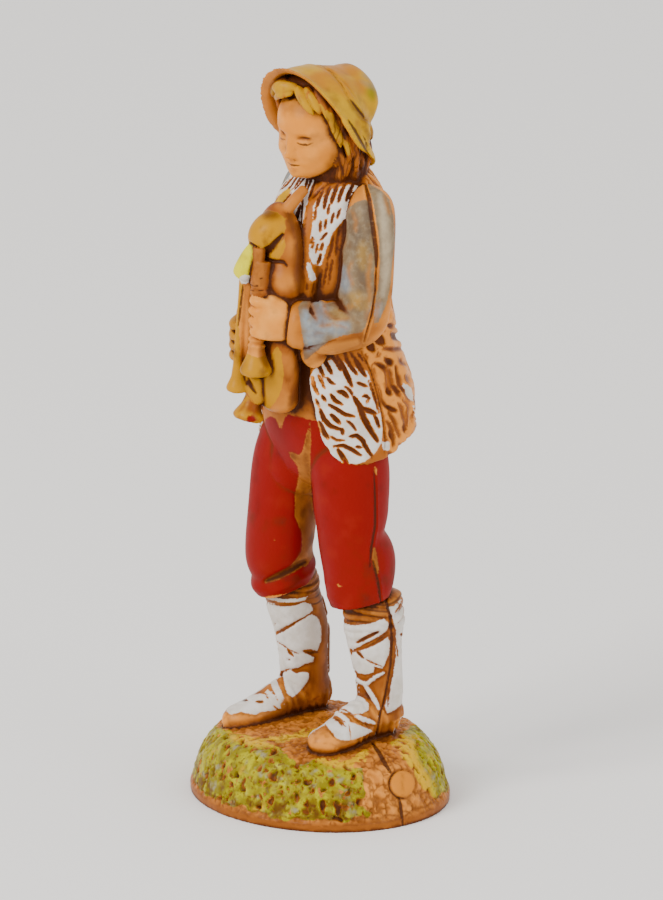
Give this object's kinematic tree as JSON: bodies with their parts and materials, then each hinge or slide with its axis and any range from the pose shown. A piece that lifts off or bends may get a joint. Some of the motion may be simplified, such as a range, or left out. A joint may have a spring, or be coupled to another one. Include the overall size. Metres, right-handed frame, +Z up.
{
  "type": "bagpiper nativity figure",
  "caption": "Hand-painted plastic nativity figure of a shepherd boy in a brimmed hat, fur vest and knee breeches, playing a bagpipe on a domed grassy mound.",
  "frame": {"origin": "middle of the mound's flat underside", "axes": "+Z up; the boy faces -Y and his left side is +X"},
  "size_m": [0.0368, 0.0324, 0.1001],
  "materials": {
    "painted_plastic": "moulded tan plastic, brush-painted, with a brown wash"
  },
  "bodies": {
    "root": {"bagpiper": "painted_plastic"}
  },
  "joints": []
}
